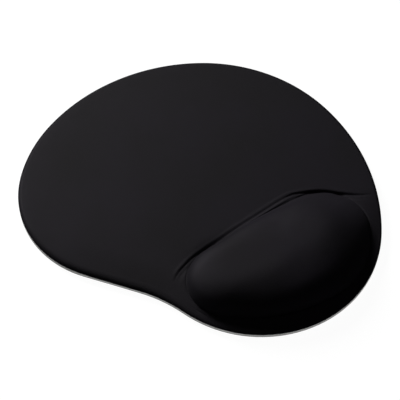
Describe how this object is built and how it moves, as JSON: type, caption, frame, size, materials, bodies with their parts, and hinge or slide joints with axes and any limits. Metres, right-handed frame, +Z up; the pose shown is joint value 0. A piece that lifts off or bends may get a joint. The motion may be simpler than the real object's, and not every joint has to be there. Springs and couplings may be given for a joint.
{
  "type": "mouse pad with gel wrist rest",
  "caption": "Bonded mouse pad: a thin rounded mousing area with a rolled fabric edge and a raised, cushioned gel wrist rest formed into its front lobe.",
  "frame": {"origin": "on the resting plane, under the middle of the pad's bounding box", "axes": "+Z up through the thin direction, +Y away from the user across the mousing area, +X to the user's right along the wrist rest"},
  "size_m": [0.2292, 0.2432, 0.0218],
  "materials": {
    "knit_fabric": "fine black stretch knit, faint sheen",
    "glue_web": "hot-melt web, dull and slightly milky",
    "cell_film": "thin thermoplastic film, glossy",
    "gel": "soft silicone gel, wet-looking",
    "foam": "fine closed-cell foam, matt cut edge",
    "glue_film": "contact adhesive film, dull",
    "grip_rubber": "matt foamed rubber with a fine grip texture"
  },
  "bodies": {
    "root": {"fabric_cover": "knit_fabric", "cover_adhesive": "glue_web", "barrier_film": "cell_film", "gel_core": "gel", "gel_seal_film": "cell_film", "foam_core": "foam", "base_adhesive": "glue_film", "nonslip_base": "grip_rubber"}
  },
  "joints": []
}
